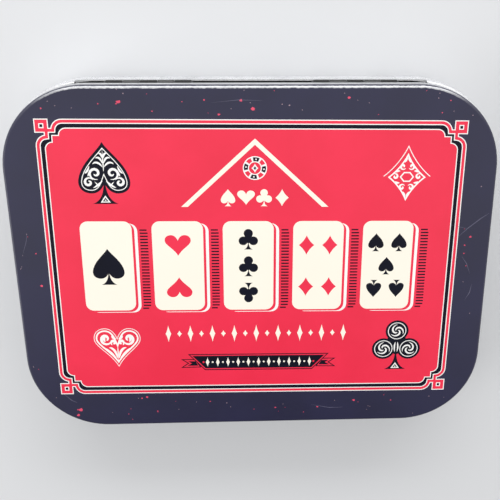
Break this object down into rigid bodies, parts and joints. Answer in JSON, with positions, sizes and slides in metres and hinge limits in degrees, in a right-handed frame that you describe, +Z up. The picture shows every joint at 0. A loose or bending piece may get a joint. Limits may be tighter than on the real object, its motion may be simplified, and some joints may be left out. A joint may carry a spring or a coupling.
{
  "type": "travel poker set",
  "caption": "Travel poker set: hinged rectangular tin with rounded corners, printed lid, formed tray, card deck, magnetic chips on edge and dealer and blind buttons.",
  "frame": {"origin": "middle of the tin's underside", "axes": "+X along the long side, +Y towards the hinge, +Z up through the lid"},
  "size_m": [0.1566, 0.1192, 0.023],
  "materials": {
    "tinplate": "bare bright tinplate",
    "printed_tinplate": "satin varnished offset print on tinplate",
    "pin_wire": "drawn wire",
    "tray_plastic": "vacuum formed, fine matte",
    "leaflet_paper": "uncoated folded paper",
    "card_stock": "linen coated card",
    "ferrite": "sintered ferrite",
    "label_paper": "gloss coated label",
    "chip_white": "moulded, satin",
    "chip_red": "moulded, satin",
    "chip_blue": "moulded, satin",
    "chip_black": "moulded, satin",
    "dealer_plastic": "moulded, satin",
    "small_blind_plastic": "moulded, satin",
    "big_blind_plastic": "moulded, satin"
  },
  "bodies": {
    "base": {"base_shell": "tinplate", "hinge_pin_left": "pin_wire", "hinge_pin_right": "pin_wire", "tray": "tray_plastic", "rules_leaflet": "leaflet_paper", "cards_clubs": "card_stock", "cards_diamonds": "card_stock", "cards_hearts": "card_stock", "cards_spades": "card_stock", "cards_jokers": "card_stock", "chips_white": "chip_white", "chip_magnets_white": "ferrite", "chip_labels_white": "label_paper", "chips_red": "chip_red", "chip_magnets_red": "ferrite", "chip_labels_red": "label_paper", "chips_blue": "chip_blue", "chip_magnets_blue": "ferrite", "chip_labels_blue": "label_paper", "chips_black": "chip_black", "chip_magnets_black": "ferrite", "chip_labels_black": "label_paper", "dealer_button": "dealer_plastic", "dealer_magnet": "ferrite", "dealer_labels": "label_paper", "small_blind_button": "small_blind_plastic", "small_blind_magnet": "ferrite", "small_blind_labels": "label_paper", "big_blind_button": "big_blind_plastic", "big_blind_magnet": "ferrite", "big_blind_labels": "label_paper"},
    "lid": {"lid_shell": "printed_tinplate"}
  },
  "joints": [
    {"name": "lid_hinge", "type": "hinge", "parent": "base", "child": "lid", "pos_m": [0, 0.05865, 0.0161], "axis": [-1, 0, 0], "range_deg": [0, 120]}
  ]
}
